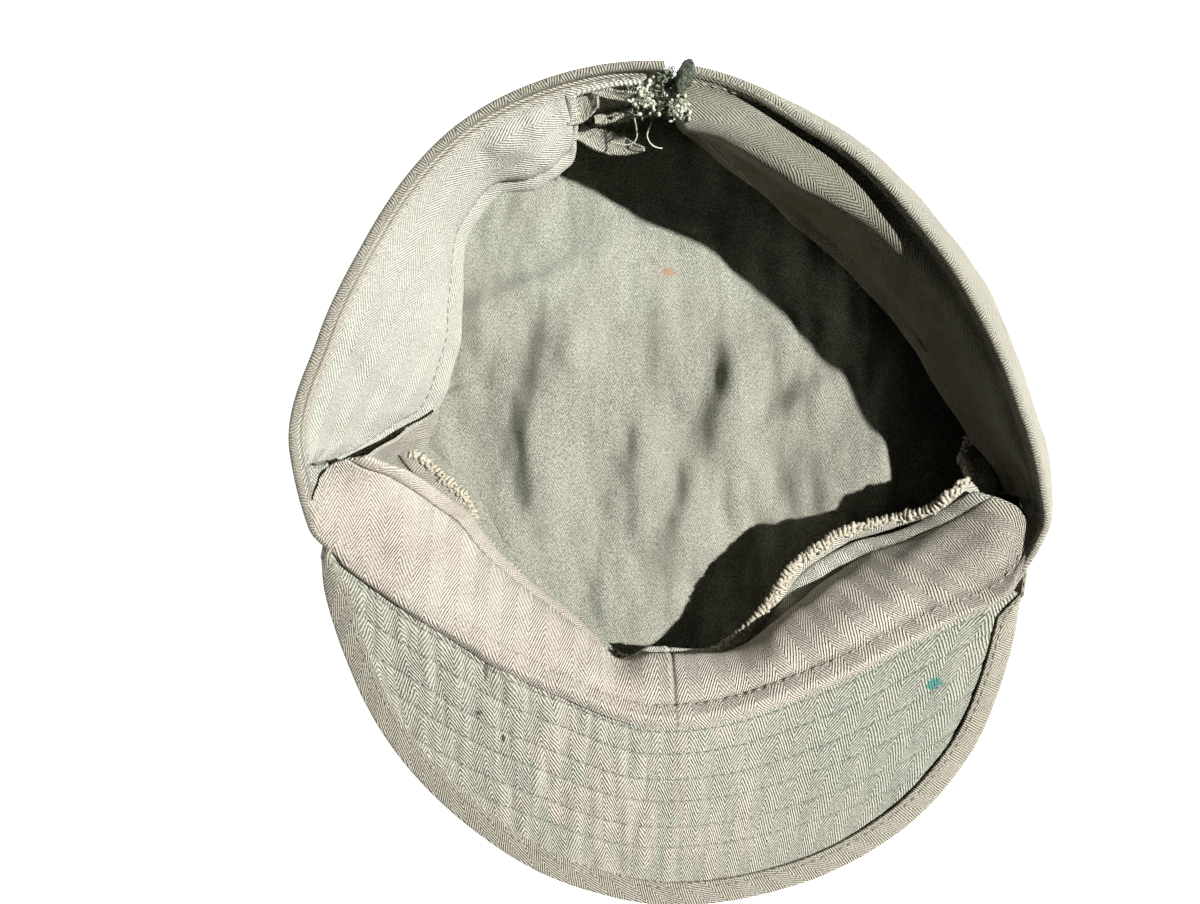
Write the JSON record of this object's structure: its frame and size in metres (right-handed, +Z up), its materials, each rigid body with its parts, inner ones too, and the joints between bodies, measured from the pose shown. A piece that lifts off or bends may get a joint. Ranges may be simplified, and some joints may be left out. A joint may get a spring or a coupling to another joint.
{
  "type": "cloth field cap",
  "caption": "Worn soft field cap of faded herringbone twill lying upside down on its crown, with a stitched cloth visor, bound visor edge, band and inner sweatband torn at the back.",
  "frame": {"origin": "on the crown's flat underside, under the middle of the head opening", "axes": "+Z up out of the head opening, -Y towards the visor, +X to the right as seen from above with the visor nearest"},
  "size_m": [0.2053, 0.2306, 0.0579],
  "materials": {
    "crown_cloth": "matte twill",
    "band_cloth": "matte twill",
    "sweat_cloth": "matte twill",
    "overcast_thread": "matte thread",
    "visor_cloth": "matte twill",
    "binding_cloth": "matte twill",
    "torn_cloth": "matte frayed twill"
  },
  "bodies": {
    "root": {"crown_top": "crown_cloth", "crown_side": "crown_cloth", "band": "band_cloth", "sweatband": "sweat_cloth", "overcast_seam": "overcast_thread", "visor": "visor_cloth", "visor_binding": "binding_cloth", "torn_scrap": "torn_cloth"}
  },
  "joints": []
}
